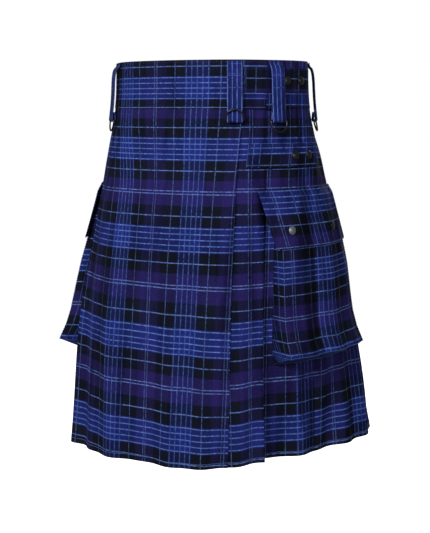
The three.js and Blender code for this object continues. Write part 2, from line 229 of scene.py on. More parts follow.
def thread_ramp(tree, place, stops):
    ramp = add_node(tree, "ShaderNodeValToRGB", _0=place).color_ramp
    ramp.interpolation = "LINEAR"
    for i, (where, colour) in enumerate(stops):
        stop = ramp.elements[i] if i < 2 else ramp.elements.new(where)
        stop.position = where
        stop.color = colour
    return tree.nodes[-1].outputs["Color"]


def tartan_twill(name, purple, black, blue, line):
    material = bpy.data.materials.new(name)
    material.use_nodes = True
    tree = material.node_tree
    surface = tree.nodes["Principled BSDF"]
    place = add_node(tree, "ShaderNodeUVMap", {"uv_map": "cloth"}).outputs["UV"]
    split = add_node(tree, "ShaderNodeSeparateXYZ", _0=place)
    body = add_node(tree, "ShaderNodeTexCoord").outputs["Object"]
    grounds = [
        (0.0, purple), (PURPLE_END / SETT_HALF, purple), (BLACK_START / SETT_HALF, black),
        (BLACK_END / SETT_HALF, black), (BLUE_START / SETT_HALF, blue), (1.0, blue)]
    half = LINE_WIDTH / 2
    blurs = (
        (-half - LINE_BLUR_OUT, 0), (-half + LINE_BLUR_IN, 1),
        (half - LINE_BLUR_IN, 1), (half + LINE_BLUR_OUT, 0))
    stops = [(0.0, 0)]
    for middle in (PAIR, LONE, FIRST_OF_FIVE, NEXT_OF_FIVE):
        stops += [((middle + edge) / SETT_HALF, shown) for edge, shown in blurs]
    stops += [(1 - (half + LINE_BLUR_OUT) / SETT_HALF, 0), (1 - (half - LINE_BLUR_IN) / SETT_HALF, 1)]
    threads = []
    lines = []
    for axis in ("X", "Y"):
        scaled = add_node(
            tree, "ShaderNodeMath", {"operation": "MULTIPLY"}, _0=split.outputs[axis], _1=1000.0)
        folded = add_node(
            tree, "ShaderNodeMath", {"operation": "PINGPONG"}, _0=scaled.outputs[0], _1=float(SETT_HALF))
        share = add_node(
            tree, "ShaderNodeMath", {"operation": "DIVIDE"}, _0=folded.outputs[0], _1=float(SETT_HALF))
        threads.append(thread_ramp(tree, share.outputs[0], grounds))
        lines.append(thread_ramp(tree, share.outputs[0], [(w, (s, s, s, 1)) for w, s in stops]))
    # the slant of the twill: the weft shows over the warp in a rib each 1.3 mm
    slant = add_node(
        tree, "ShaderNodeMath", {"operation": "ADD"}, _0=split.outputs["X"], _1=split.outputs["Y"])
    wave = add_node(
        tree, "ShaderNodeMath", {"operation": "MULTIPLY"},
        _0=slant.outputs[0], _1=2000 * math.pi / TWILL_PITCH)
    rib = add_node(tree, "ShaderNodeMath", {"operation": "SINE"}, _0=wave.outputs[0])
    over = add_node(
        tree, "ShaderNodeMath", {"operation": "MULTIPLY_ADD"}, _0=rib.outputs[0], _1=0.14, _2=0.7)
    ground = add_node(
        tree, "ShaderNodeMix", {"data_type": "RGBA"}, _0=over.outputs[0], _6=threads[0], _7=threads[1])
    # cloth dyed in the yarn is never even: broad patches, and specks a few threads wide
    wander = add_node(tree, "ShaderNodeTexNoise", Scale=9.0, Detail=3.0, Vector=body)
    speckle = add_node(tree, "ShaderNodeTexNoise", Scale=420.0, Detail=2.0, Vector=place)
    patchy = add_node(
        tree, "ShaderNodeMath", {"operation": "ADD"}, _0=wander.outputs[0], _1=speckle.outputs[0])
    worn = add_node(
        tree, "ShaderNodeMath", {"operation": "MULTIPLY_ADD"}, _0=patchy.outputs[0], _1=1.15, _2=-0.18)
    uneven = add_node(
        tree, "ShaderNodeMix", {"data_type": "RGBA", "blend_type": "MULTIPLY"},
        _0=1.0, _6=ground.outputs[2], _7=worn.outputs[0])
    # the light lines: those along the warp show half as strongly, and the yarn breaks both up
    yarn_place = add_node(tree, "ShaderNodeMapping", {3: (240, 240, 1)}, _0=place)
    yarn = add_node(tree, "ShaderNodeTexNoise", Scale=1.0, Detail=2.0, Vector=yarn_place.outputs[0])
    warp_lines = add_node(tree, "ShaderNodeMath", {"operation": "MULTIPLY"}, _0=lines[0], _1=0.5)
    both = add_node(
        tree, "ShaderNodeMath", {"operation": "MAXIMUM"}, _0=warp_lines.outputs[0], _1=lines[1])
    broken = add_node(
        tree, "ShaderNodeMath", {"operation": "MULTIPLY_ADD"}, _0=yarn.outputs[0], _1=1.9, _2=-0.4)
    shown = add_node(
        tree, "ShaderNodeMath", {"operation": "MULTIPLY", "use_clamp": True},
        _0=both.outputs[0], _1=broken.outputs[0])
    cloth = add_node(
        tree, "ShaderNodeMix", {"data_type": "RGBA"}, _0=shown.outputs[0], _6=uneven.outputs[2], _7=line)
    tree.links.new(cloth.outputs[2], surface.inputs["Base Color"])
    # three reliefs over each other: the ribs of the weave, small creases, and the long soft
    # waves of the hanging cloth, which run down it
    height = add_node(
        tree, "ShaderNodeMath", {"operation": "MULTIPLY_ADD"},
        _0=rib.outputs[0], _1=0.4, _2=speckle.outputs[0])
    ribbed = add_node(tree, "ShaderNodeBump", Strength=0.3, Distance=0.0005, Height=height.outputs[0])
    crease = add_node(
        tree, "ShaderNodeTexNoise", Scale=38.0, Detail=3.0, Distortion=0.6, Vector=body)
    creased = add_node(
        tree, "ShaderNodeBump", Strength=0.5, Distance=0.004,
        Height=crease.outputs[0], Normal=ribbed.outputs[0])
    drape_place = add_node(tree, "ShaderNodeMapping", {3: (13, 13, 1.8)}, _0=body)
    drape = add_node(
        tree, "ShaderNodeTexNoise", Scale=1.0, Detail=2.0, Distortion=0.4, Vector=drape_place.outputs[0])
    draped = add_node(
        tree, "ShaderNodeBump", Strength=1.0, Distance=0.08,
        Height=drape.outputs[0], Normal=creased.outputs[0])
    tree.links.new(draped.outputs[0], surface.inputs["Normal"])
    surface.inputs["Roughness"].default_value = 0.82
    surface.inputs["Specular IOR Level"].default_value = 0.08
    return material


twill = tartan_twill(
    "tartan twill", linear("#261f5c"), linear("#0f1322"), linear("#1c2974"), linear("#6f8fdc"))


# A cloth piece is a closed shell between two grids of points, with the weave's own place kept
# in its uv map, in metres along the warp and the weft
def cloth_shell(name, outer, inner, weave, material, node):
    rows, cols = outer.shape[:2]
    points = np.concatenate([outer.reshape(-1, 3), inner.reshape(-1, 3)]) * 0.001
    far = rows * cols
    at = np.arange(far).reshape(rows, cols)
    a, b, c, d = at[:-1, :-1], at[1:, :-1], at[1:, 1:], at[:-1, 1:]
    faces = [np.stack([a, b, c, d], -1).reshape(-1, 4)]
    faces.append(np.stack([a, d, c, b], -1).reshape(-1, 4) + far)
    top, foot = at[0], at[-1]
    faces.append(np.stack([top[:-1], top[1:], top[1:] + far, top[:-1] + far], -1))
    faces.append(np.stack([foot[:-1], foot[:-1] + far, foot[1:] + far, foot[1:]], -1))
    left, right = at[:, 0], at[:, -1]
    faces.append(np.stack([left[:-1], left[:-1] + far, left[1:] + far, left[1:]], -1))
    faces.append(np.stack([right[:-1], right[1:], right[1:] + far, right[:-1] + far], -1))
    faces = np.concatenate(faces)
    mesh = bpy.data.meshes.new(name)
    mesh.from_pydata(points.tolist(), [], faces.tolist())
    layer = mesh.uv_layers.new(name="cloth")
    corner = np.zeros(len(mesh.loops), np.int32)
    mesh.loops.foreach_get("vertex_index", corner)
    flat = np.concatenate([weave.reshape(-1, 2), weave.reshape(-1, 2)]) * 0.001
    layer.data.foreach_set("uv", flat[corner].astype(np.float32).ravel())
    return finish_piece(name, mesh, material, node)


# Every piece is smooth but for its creases, rides on its body and stands for its own node
def finish_piece(name, mesh, material, node, body="kilt", sharp=50):
    work = bmesh.new()
    work.from_mesh(mesh)
    for face in work.faces:
        face.smooth = True
    for edge in work.edges:
        edge.smooth = edge.calc_face_angle(0) < math.radians(sharp)
    work.to_mesh(mesh)
    work.free()
    mesh.materials.append(material)
    piece = bpy.data.objects.new(name, mesh)
    bpy.context.scene.collection.objects.link(piece)
    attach(piece, body)
    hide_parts(node)
    return piece


# The size that a piece was cut to, measured along the middle of its cloth
def declare_cut(grid):
    across = np.linalg.norm(np.diff(grid, axis=1), axis=2)
    down = np.linalg.norm(np.diff(grid, axis=0), axis=2)
    area = ((across[:-1] + across[1:]) / 2 * (down[:, :-1] + down[:, 1:]) / 2).sum()
    flat = (round(across.sum(1).max() / 1000, 4), round(down.sum(0).max() / 1000, 4))
    area = min(area * 1e-6, flat[0] * flat[1])


# Skirt panels, single layers of the twill sewn to the waistband: the apron lies on top, the
# closing panel under its free edge, the sides and the under apron lowest.
LAYER = CLOTH + 0.6
UNDER_STAND = 19
COLUMN_STEP = 4.5
HEM_TURN = 3
skirt_drops = np.concatenate([
    [BAND + 0.05], np.arange(80, LENGTH - HEM_TURN, 5.0), [LENGTH - HEM_TURN, LENGTH]])


def stand(drop):
    return UNDER_STAND * spread(drop) ** 1.6


def apron_inner(station, drop):
    return np.zeros_like(station)


def closing_inner(station, drop):
    return np.full_like(station, -LAYER)


def under_inner(station, drop):
    return np.full_like(station, -2 * LAYER - stand(drop))


def side_inner(edge):
    def inner(station, drop):
        past = np.abs(station) - abs(edge_at(edge, drop)) - 4
        return under_inner(station, drop) * (1 - smooth(past / (60 + 50 * spread(drop))))
    return inner


left_side_inner = side_inner("closing")
right_side_inner = side_inner("apron_right")

# Where the sett lies down each panel and across the apron: a drop or a station on the kilt, and
# the sett's own place there, both in millimetres
APRON_ROWS = (
    [74, 102, 199.5, 340.8, 425, 494, 571, 616],
    [-136, -105, 0, 140, 210, 280, 350, 393])
SIDE_ROWS = (
    [72, 101, 118, 126, 150, 165, 195, 340, 411, 490, 570, 616],
    [-138, -105, -87, -78.5, -53, -35, 0, 140, 210, 280, 350, 390])
APRON_TOP_COLUMNS = (
    [-200, -96, -65, -32, 3, 39.5, 76, 111],
    [-174, -70, -35, 0, 35, 70, 105, 140])
APRON_COLUMNS = (
    [-192, -105, -74, -44, -17, 14, 47, 79, 111, 140],
    [-196, -105, -70, -35, 0, 35, 70, 105, 140, 169])


def apron_weave(station, drop):
    low = float(smooth((drop - BAND) / 126))
    top_across = np.interp(station, *APRON_TOP_COLUMNS)
    across = top_across * (1 - low) + np.interp(station, *APRON_COLUMNS) * low
    dip = 0.033 * station * float(smooth((drop - 250) / 200))
    return across, np.interp(drop - dip, *APRON_ROWS)


def closing_weave(station, drop):
    across = station - edge_at("closing", drop) + 23
    return across, np.full_like(station, np.interp(drop, *SIDE_ROWS))


def side_weave(station, drop):
    start = edge_at("closing", drop) + 10
    return np.abs(station) - start, np.full_like(station, np.interp(drop, *SIDE_ROWS))


def hung_panel(name, start, end, inner, weave):
    cols = int(max(abs(end(d) - start(d)) for d in skirt_drops) / COLUMN_STEP) + 2
    faces = {"outer": [], "middle": [], "inner": []}
    woven = []
    for drop in skirt_drops:
        station = np.linspace(start(drop), end(drop), cols)
        lie = inner(station, drop)
        for key, extra in (("outer", CLOTH), ("middle", CLOTH / 2), ("inner", 0)):
            faces[key].append(on_body(station, drop, lie + extra))
        woven.append(np.stack(weave(station, drop), 1))
    grids = {key: np.array(rows) for key, rows in faces.items()}
    piece = cloth_shell(name + "_cloth", grids["outer"], grids["inner"], np.array(woven), twill, name)
    declare_cut(grids["middle"])


hung_panel(
    "apron", lambda d: edge_at("apron_right", d), lambda d: edge_at("apron_left", d),
    apron_inner, apron_weave)
hung_panel(
    "closing_panel", lambda d: edge_at("closing_under", d), lambda d: edge_at("closing", d),
    closing_inner, closing_weave)
hung_panel(
    "under_apron", lambda d: edge_at("under_right", d), lambda d: edge_at("under_seam", d),
    under_inner, side_weave)
hung_panel(
    "side_left", lambda d: edge_at("under_seam", d) + SEAM, lambda d: edge_at("side_back", d),
    left_side_inner, side_weave)
hung_panel(
    "side_right", lambda d: -edge_at("side_back", d), lambda d: edge_at("side_right_front", d),
    right_side_inner, side_weave)

# The back, one length of twill folded into knife pleats that all turn the same way and are
# sewn flat into the waistband. Its seam allowance runs on under both sides.
PLEATS = 10
# one pleat: share of the pitch, turns of the round fold, turns of the deep fold, share of the height
PLEAT = [
    (0.0, 0, 0, 0.0),
    (0.33, 0, 0, 0.36),
    (0.67, 0, 0, 0.7),
    (1.0, -1, 0, 1.0),
    (1.0, 0, 0, 0.76),
    (1.0, -1, 0, 0.52),
    (1.0, 0, 1, 0.48),
    (1.0, -1, 1, 0.24),
    (1.0, 0, 1, 0.0),
]
PLEAT_WALL = 1.4
PLEAT_FLOOR = -1
ALLOWANCE, ALLOWANCE_FLOOR = 4, -1.1


def pleated_back():
    outer, middle, inner, woven = [], [], [], []
    for drop in skirt_drops:
        down = spread(drop)
        start = edge_at("side_back", drop) + SEAM
        end = girth(drop) - start
        pitch = (end - start) / PLEATS
        height, fold, back = 4.8 + 9 * down, 1.1 + 1.4 * down, 13 + 5 * down
        stations, lies = [start - ALLOWANCE], [ALLOWANCE_FLOOR]
        for k in range(PLEATS):
            for along, rounds, backs, tall in PLEAT:
                stations.append(start + pitch * (k + along) + fold * rounds - back * backs)
                lies.append(tall * height + PLEAT_FLOOR)
        stations += [end, end + ALLOWANCE]
        lies += [PLEAT_FLOOR, ALLOWANCE_FLOOR]
        line = np.vstack([on_body(s, drop, o) for s, o in zip(stations, lies)])
        steps = np.diff(line[:, :2], axis=0)
        lengths = np.linalg.norm(steps, axis=1)
        steps /= lengths[:, None]
        before = np.vstack([steps[:1], steps])
        after = np.vstack([steps, steps[-1:]])
        along = before + after
        along /= np.linalg.norm(along, axis=1)[:, None]
        mitre = np.minimum(1.5, 1 / np.maximum(0.5, (along * before).sum(1)))
        square_out = np.stack([along[:, 1], -along[:, 0], np.zeros(len(along))], 1)
        out = square_out * (mitre * PLEAT_WALL / 2)[:, None]
        outer.append(line + out)
        middle.append(line)
        inner.append(line - out)
        run = np.concatenate([[0], np.cumsum(lengths)])
        run = run - run[-1] / 2
        woven.append(np.stack([run, np.full_like(run, np.interp(drop, *SIDE_ROWS))], 1))
    grids = [np.array(g) for g in (outer, middle, inner, woven)]
    piece = cloth_shell("back_pleats_cloth", grids[0], grids[2], grids[3], twill, "back_pleats")
    declare_cut(grids[1])


pleated_back()

# The waistband, a doubled strip of the same twill 74 mm high. Its end laps over its start
# across the front, and it is topstitched along both edges.
SIDE_SEAM = 227
UNDER_BAND = -(BAND_CLOTH + 0.6)
band_drops = np.array([0, 0.6, 2, 8, 16, 24, 32, 40, 48, 56, 64, 71, 73.4, 74.0])
CLOSING_TOP = EDGES["closing"][0]


def band_round(drop):
    return min(1.0, 0.35 + min(drop, BAND - drop) / 2.4)


BAND_ROWS = ([0, 9.6, 26.4, 42.4, 58.5, 71.5, 74], [25, 35, 53, 70, 87, 105, 108])
UNDER_BAND_ROWS = ([0, 11, 51.1, 58.9, 74], [5, 18, 53, 61.5, 46])


def band_weave(station, drop):
    return np.interp(station, *APRON_TOP_COLUMNS), np.full_like(station, np.interp(drop, *BAND_ROWS))


def under_band_weave(station, drop):
    return station - CLOSING_TOP - 8, np.full_like(station, np.interp(drop, *UNDER_BAND_ROWS))


def band_strip(name, stations_at, inner, weave):
    outer, low, woven, middle = [], [], [], []
    for drop in band_drops:
        station = stations_at(drop)
        lie = inner(station)
        half = BAND_CLOTH / 2
        bulge = half * band_round(drop)
        outer.append(on_body(station, drop, lie + half + bulge))
        middle.append(on_body(station, drop, lie + half))
        low.append(on_body(station, drop, lie + half - bulge))
        woven.append(np.stack(weave(station, drop), 1))
    piece = cloth_shell(name + "_cloth", np.array(outer), np.array(low), np.array(woven), twill, name)
    declare_cut(np.array(middle))


band_strip(
    "waistband",
    lambda d: np.concatenate([
        np.linspace(EDGES["under_right"][0], CLOSING_TOP + 0.8, 50),
        np.linspace(CLOSING_TOP + 4.5, girth(d) - SIDE_SEAM - SEAM, 150)]),
    lambda s: np.where(s > CLOSING_TOP + 2, 0.0, UNDER_BAND),
    under_band_weave)
band_strip(
    "waistband_over",
    lambda d: np.linspace(-SIDE_SEAM, CLOSING_TOP, 90),
    lambda s: np.zeros_like(s), band_weave)

# Two tabs of doubled twill, sewn on the closing panel and snapped on the left side. threads and
# rows say where the sett lies along the tab and down it.
TAB_CLOTH = 2
TAB_CUTS = np.array([0, 0.7, 2, 8, 14, 20, 26, 32, 35, 36.3, 37]) / 37
TABS = [
    {
        "name": "waist_tab", "from": 110, "to": 232, "top": 12, "height": 37,
        "out": 2.8, "rise": 0, "studs": (180, 208),
        "threads": ([112, 127.6, 190, 204, 232], [53, 35, -29, -35, -58]),
        "rows": ([11, 27.8, 51], [53, 35, 12]),
    },
    {
        "name": "hip_tab", "from": 124, "to": 258, "top": 126, "height": 36,
        "out": 0.1, "rise": 2.1, "studs": (206, 236),
        "threads": (
            [124, 132.8, 143.6, 162.8, 195.6, 228.2, 251.3, 258],
            [70, 61.5, 53, 35, 0, -35, -53, -60]),
        "rows": ([124, 132.5, 140.9, 158.5, 162], [70, 61.5, 53, 35, 31]),
    },
]


def tab_inner(tab, station):
    return tab["out"] + tab["rise"] * smooth((np.asarray(station, float) - tab["from"]) / 80)


for tab in TABS:
    drops = tab["top"] + TAB_CUTS * tab["height"]
    outer, middle, low, woven = [], [], [], []
    for drop in drops:
        station = np.linspace(tab["from"], tab["to"], 36)
        near = min(drop - drops[0], drops[-1] - drop)
        bulge = TAB_CLOTH / 2 * min(1.0, 0.35 + near / 2)
        lie = tab_inner(tab, station) + TAB_CLOTH / 2
        outer.append(on_body(station, drop, lie + bulge))
        middle.append(on_body(station, drop, lie))
        low.append(on_body(station, drop, lie - bulge))
        down = np.full_like(station, np.interp(drop, *tab["rows"]))
        woven.append(np.stack([np.interp(station, *tab["threads"]), down], 1))
    piece = cloth_shell(
        tab["name"] + "_cloth", np.array(outer), np.array(low), np.array(woven), twill, tab["name"])
    declare_cut(np.array(middle))

# Belt straps, folded lengths of the twill that stand off the waistband for a belt. Four of
# them fold round a D ring's bar at the foot.
STRAP = {
    "width": 23, "cloth": 2, "stand": 10, "top": 2, "sewn": 7, "bend": 13,
    "leg": 62, "foot": 71, "bar": 91, "bar_out": 7.8}
RING = {"wire": 2.6, "inside": 25, "side": 4}
BAR_SLEEVE = RING["wire"] / 2 + 0.35
STRAPS = [
    {"name": "front", "station": 96, "turned": 160},
    {"name": "front_side", "station": 161, "turned": 8},
    {"name": "left_side", "station": 268, "turned": 14},
    {"name": "right_front", "station": -135, "turned": 8},
    {"name": "right_side", "station": -272, "turned": None},
    {"name": "back_left", "station": 366, "turned": None},
    {"name": "back_right", "station": -366, "turned": None},
]


# The straps keep to the kilt's even round, so that each ring's bar lies on its hinge
def on_even_body(station, drop):
    return on_body(station, drop, -hang(station, drop))[0]


def strap_place(strap):
    middle = on_even_body(strap["station"], BAND / 2)
    ahead = (
        on_even_body(strap["station"] + 6, BAND / 2) - on_even_body(strap["station"] - 6, BAND / 2))
    ahead[2] = 0
    ahead /= np.linalg.norm(ahead)
    outward = np.array([ahead[1], -ahead[0], 0])
    return middle, ahead, outward


def strap_lean(strap, drop):
    middle, ahead, outward = strap_place(strap)
    return float((on_even_body(strap["station"], drop) - middle) @ outward)


# A path with its corners cut twice, then stepped out evenly
def rounded(points, step):
    points = np.array(points, float)
    for _ in range(2):
        cut = [points[0]]
        for a, b in zip(points[:-1], points[1:]):
            cut += [a * 0.75 + b * 0.25, a * 0.25 + b * 0.75]
        points = np.array([*cut, points[-1]])
    run = np.concatenate([[0], np.cumsum(np.linalg.norm(np.diff(points, axis=0), axis=1))])
    places = np.linspace(0, run[-1], int(run[-1] / step) + 2)
    return np.stack([np.interp(places, run, points[:, k]) for k in (0, 1)], 1)


# The strap from the side: how far out each place lies and its drop, from the top seam to the
# end that is folded up behind
def strap_path(strap):
    size = STRAP
    lie = BAND_CLOTH + SEAM + size["cloth"] / 2
    off = size["stand"] + size["cloth"] / 2
    points = [(lie, size["top"]), (lie, size["sewn"]), (off, size["bend"]), (off, size["leg"])]
    if strap["turned"] is None:
        points += [(lie, size["leg"] + 4.5), (lie, size["foot"])]
    path = [(out + strap_lean(strap, drop), drop) for out, drop in points]
    if strap["turned"] is not None:
        bar_out = size["bar_out"] + strap_lean(strap, size["bar"])
        wrap = BAR_SLEEVE + size["cloth"] / 2
        for turn in np.linspace(0, math.pi, 9):
            path.append((bar_out + wrap * math.cos(turn), size["bar"] + wrap * math.sin(turn)))
        path += [(bar_out - wrap + 0.3, size["bar"] - 6), (bar_out - wrap + 0.9, size["bar"] - 12)]
    return rounded(path, 2.0)


def strap_point(strap, out, drop, across):
    middle, ahead, outward = strap_place(strap)
    point = middle + outward * out + ahead * across
    point[2] = BAND / 2 - drop
    return point


def strap_facing(path):
    heading = np.gradient(path, axis=0)
    heading /= np.linalg.norm(heading, axis=1)[:, None]
    return np.stack([heading[:, 1], -heading[:, 0]], 1)


STRAP_THREADS = ([0, 5, 23, 41, 100], [-43, -35, 0, 35, 12])
for strap in STRAPS:
    path = strap_path(strap)
    facing = strap_facing(path)
    run = np.concatenate([[0], np.cumsum(np.linalg.norm(np.diff(path, axis=0), axis=1))])
    half = STRAP["width"] / 2
    acrosses = np.array([-half, -half + 0.5, -half + 1.6, -6, -2, 2, 6, half - 1.6, half - 0.5, half])
    grids = {"outer": [], "inner": [], "middle": [], "weave": []}
    for (out, drop), (face_out, face_drop), down in zip(path, facing, run):
        for key, side in (("outer", 1), ("inner", -1), ("middle", 0)):
            row = []
            for across in acrosses:
                bulge = STRAP["cloth"] / 2 * min(1.0, 0.4 + (half - abs(across)) / 1.8) * side
                row.append(strap_point(strap, out + face_out * bulge, drop + face_drop * bulge, across))
            grids[key].append(row)
        place = float(np.interp(down, *STRAP_THREADS))
        grids["weave"].append([(place, across * 1.18 + 65.75) for across in acrosses])
    grids = {key: np.array(value) for key, value in grids.items()}
    node = f"strap_{strap['name']}"
    piece = cloth_shell(node + "_cloth", grids["outer"], grids["inner"], grids["weave"], twill, node)
    declare_cut(grids["middle"])


# Plated metal for the snap caps and the D rings: dark gunmetal plate over steel, stamped or bent, with a
# soft gloss and faint rubbed marks.
# A pale copy of the same plate is painted reflection: it colours a cap light where the real cap mirrors
# the white room.
def plated_steel(name, colour, roughness, rub_scale):
    material = bpy.data.materials.new(name)
    material.use_nodes = True
    tree = material.node_tree
    surface = tree.nodes["Principled BSDF"]
    place = add_node(tree, "ShaderNodeTexCoord").outputs["Object"]
    rub = add_node(tree, "ShaderNodeTexNoise", Scale=rub_scale, Detail=4.0, Vector=place)
    shade = thread_ramp(tree, rub.outputs[0], [(0.3, [0.82 * c for c in colour[:3]] + [1]), (0.7, colour)])
    tree.links.new(shade, surface.inputs["Base Color"])
    gloss = add_node(
        tree, "ShaderNodeMath", {"operation": "MULTIPLY_ADD"},
        _0=rub.outputs[0], _1=0.16, _2=roughness - 0.08)
    tree.links.new(gloss.outputs[0], surface.inputs["Roughness"])
    surface.inputs["Metallic"].default_value = 1.0
    return material


gunmetal = plated_steel("gunmetal plated steel", linear("#45464b"), 0.36, 900)
# a pale copy of the gunmetal plate, painted reflection of the white room rather than a second metal
nickel = plated_steel("gunmetal plate painted pale as a reflection", linear("#a9adb5"), 0.42, 900)


# D rings, bent from 2.6 mm round wire and closed by a butt weld in the straight bar
RING_CORNER = 2.4
RING_SIDES = 14


def ring_loop():
    half = (RING["inside"] + RING["wire"]) / 2
    corner = RING_CORNER
    points = []
    for turn in np.linspace(0, math.pi / 2, 6):
        points.append((half - corner + corner * math.sin(turn), corner - corner * math.cos(turn)))
    for turn in np.linspace(0, math.pi, 25):
        points.append((half * math.cos(turn), RING["side"] + half * math.sin(turn)))
    for turn in np.linspace(0, math.pi / 2, 6):
        points.append((-half + corner - corner * math.cos(turn), corner - corner * math.sin(turn)))
    points = np.array(points)
    apart = np.linalg.norm(points - np.roll(points, 1, axis=0), axis=1)
    return points[apart > 0.05]


# A closed mesh from points in millimetres, with every face turned outwards
def metal_mesh(name, points, faces):
    mesh = bpy.data.meshes.new(name)
    mesh.from_pydata([list(p * 0.001) for p in points], [], faces)
    work = bmesh.new()
    work.from_mesh(mesh)
    bmesh.ops.recalc_face_normals(work, faces=work.faces)
    work.to_mesh(mesh)
    work.free()
    return mesh


for strap in [s for s in STRAPS if s["turned"] is not None]:
    middle, ahead, outward = strap_place(strap)
    turned = math.radians(strap["turned"])
    bar = strap_point(strap, STRAP["bar_out"] + strap_lean(strap, STRAP["bar"]), STRAP["bar"], 0)
    away = outward * math.sin(turned) + np.array([0, 0, -1]) * math.cos(turned)
    flat_side = np.cross(ahead, away)
    loop = ring_loop()
    count = len(loop)
    points, faces = [], []
    for i in range(count):
        along = loop[(i + 1) % count] - loop[i - 1]
        along /= np.linalg.norm(along)
        side = ahead * along[1] - away * along[0]
        centre = bar + ahead * loop[i][0] + away * loop[i][1]
        for k in range(RING_SIDES):
            turn = 2 * math.pi * k / RING_SIDES
            round_wire = side * math.cos(turn) + flat_side * math.sin(turn)
            points.append(centre + RING["wire"] / 2 * round_wire)
            following = (k + 1) % RING_SIDES
            here, there = i * RING_SIDES, (i + 1) % count * RING_SIDES
            faces.append((here + k, there + k, there + following, here + following))
    node = f"ring_{strap['name']}"
    mesh = metal_mesh(node, points, faces)
    finish_piece(node + "_wire", mesh, gunmetal, node, f"{strap['name']}_ring")

# Cargo pockets, trays of twill with a gusset down the sides and along the bottom, sewn to the
# side panel, and a doubled flap over the mouth.
POCKET = {
    "width": 176, "top": 210, "height": 256, "cloth": 1.6,
    "base": 17, "shift": 4, "corner": 8, "seat": 1.1}
FLAP = {"width": 192, "top": 194, "height": 90, "cloth": 2, "studs": (-60, 34), "stud_up": 27}
POCKETS = [
    {
        "name": "left", "side": 1, "edge": "closing", "gap": 21,
        "inner": left_side_inner, "flap_shift": -26,
    },
    {
        "name": "right", "side": -1, "edge": "apron_right", "gap": 5,
        "inner": right_side_inner, "flap_shift": 0,
    },
]
# how far the bag's front stands out, down from its top: it fills and flares towards the foot
BAG_DEPTH = ([0, 70, 113, 160, 190, 215, 239], [2.4, 9, 13, 15, 17, 22, 31])
BAG_ROWS, BAG_COLUMNS, GUSSET_PARTS = 50, 45, 4
GUSSET_THREADS = 2.2


def pocket_out(down):
    return float(np.interp(down, *BAG_DEPTH))


def pocket_station(pocket, across, drop):
    middle = abs(edge_at(pocket["edge"], drop)) + pocket["gap"] + POCKET["width"] / 2
    return pocket["side"] * middle + across


# The bag's sewn edges lie on the panel under them, and its front keeps to the kilt's own round
def bag_point(pocket, across, down, out):
    drop = POCKET["top"] + down
    station = pocket_station(pocket, across, drop)
    under = 0 if out > 0 else float(pocket["inner"](np.array([station]), drop)[0])
    return on_body(station, drop, under + CLOTH + POCKET["seat"] + out)[0]


def bag_grid(pocket, inset):
    half = POCKET["width"] / 2
    reach = half - inset
    shift = POCKET["shift"] * pocket["side"]
    edge = POCKET["height"] - POCKET["base"] - inset
    downs = [*np.linspace(0, edge, BAG_ROWS), POCKET["height"] - inset]
    columns = [-reach, *np.linspace(shift - reach, shift + reach, BAG_COLUMNS), reach]
    rows, woven = [], []
    for i, down in enumerate(downs):
        floor = i == len(downs) - 1
        row, threads = [], []
        for j, across in enumerate(columns):
            side = j in (0, len(columns) - 1)
            cut = POCKET["corner"] if side and floor else 0
            out = 0 if side or floor else pocket_out(down) - inset
            moved = across - math.copysign(cut, across)
            row.append(bag_point(pocket, moved, down - cut / 2, out))
            gusset = GUSSET_THREADS * pocket_out(down) if side else 0
            thread_across = pocket["side"] * across
            thread_down = POCKET["top"] + down - 391 + (BAG_DEPTH[1][-1] if floor else 0)
            threads.append((thread_across + 66 + math.copysign(gusset, thread_across), thread_down))
        rows.append(row)
        woven.append(threads)
    return np.array(rows), np.array(woven)


# The gussets and the foot, each one strip of faces wide, split into four strips
def split_gussets(grid):
    before = np.arange(GUSSET_PARTS) / GUSSET_PARTS
    after = np.arange(1, GUSSET_PARTS + 1) / GUSSET_PARTS
    left = [grid[:, 0] + (grid[:, 1] - grid[:, 0]) * t for t in before]
    right = [grid[:, -2] + (grid[:, -1] - grid[:, -2]) * t for t in after]
    grid = np.concatenate([np.stack(left, 1), grid[:, 1:-1], np.stack(right, 1)], 1)
    foot = [grid[-2] + (grid[-1] - grid[-2]) * t for t in after]
    return np.concatenate([grid[:-1], np.stack(foot, 0)], 0)


# The flap hangs over the bag's front, and the left one is set on askew
def flap_place(pocket, across, down):
    drop = FLAP["top"] + down
    share = down / FLAP["height"]
    clear = (pocket_out(drop - POCKET["top"]) + POCKET["seat"] + 1) * float(smooth(down / 16))
    station = pocket_station(pocket, across + pocket["flap_shift"] * (1 - share), drop)
    return station, drop, CLOTH + SEAM + clear


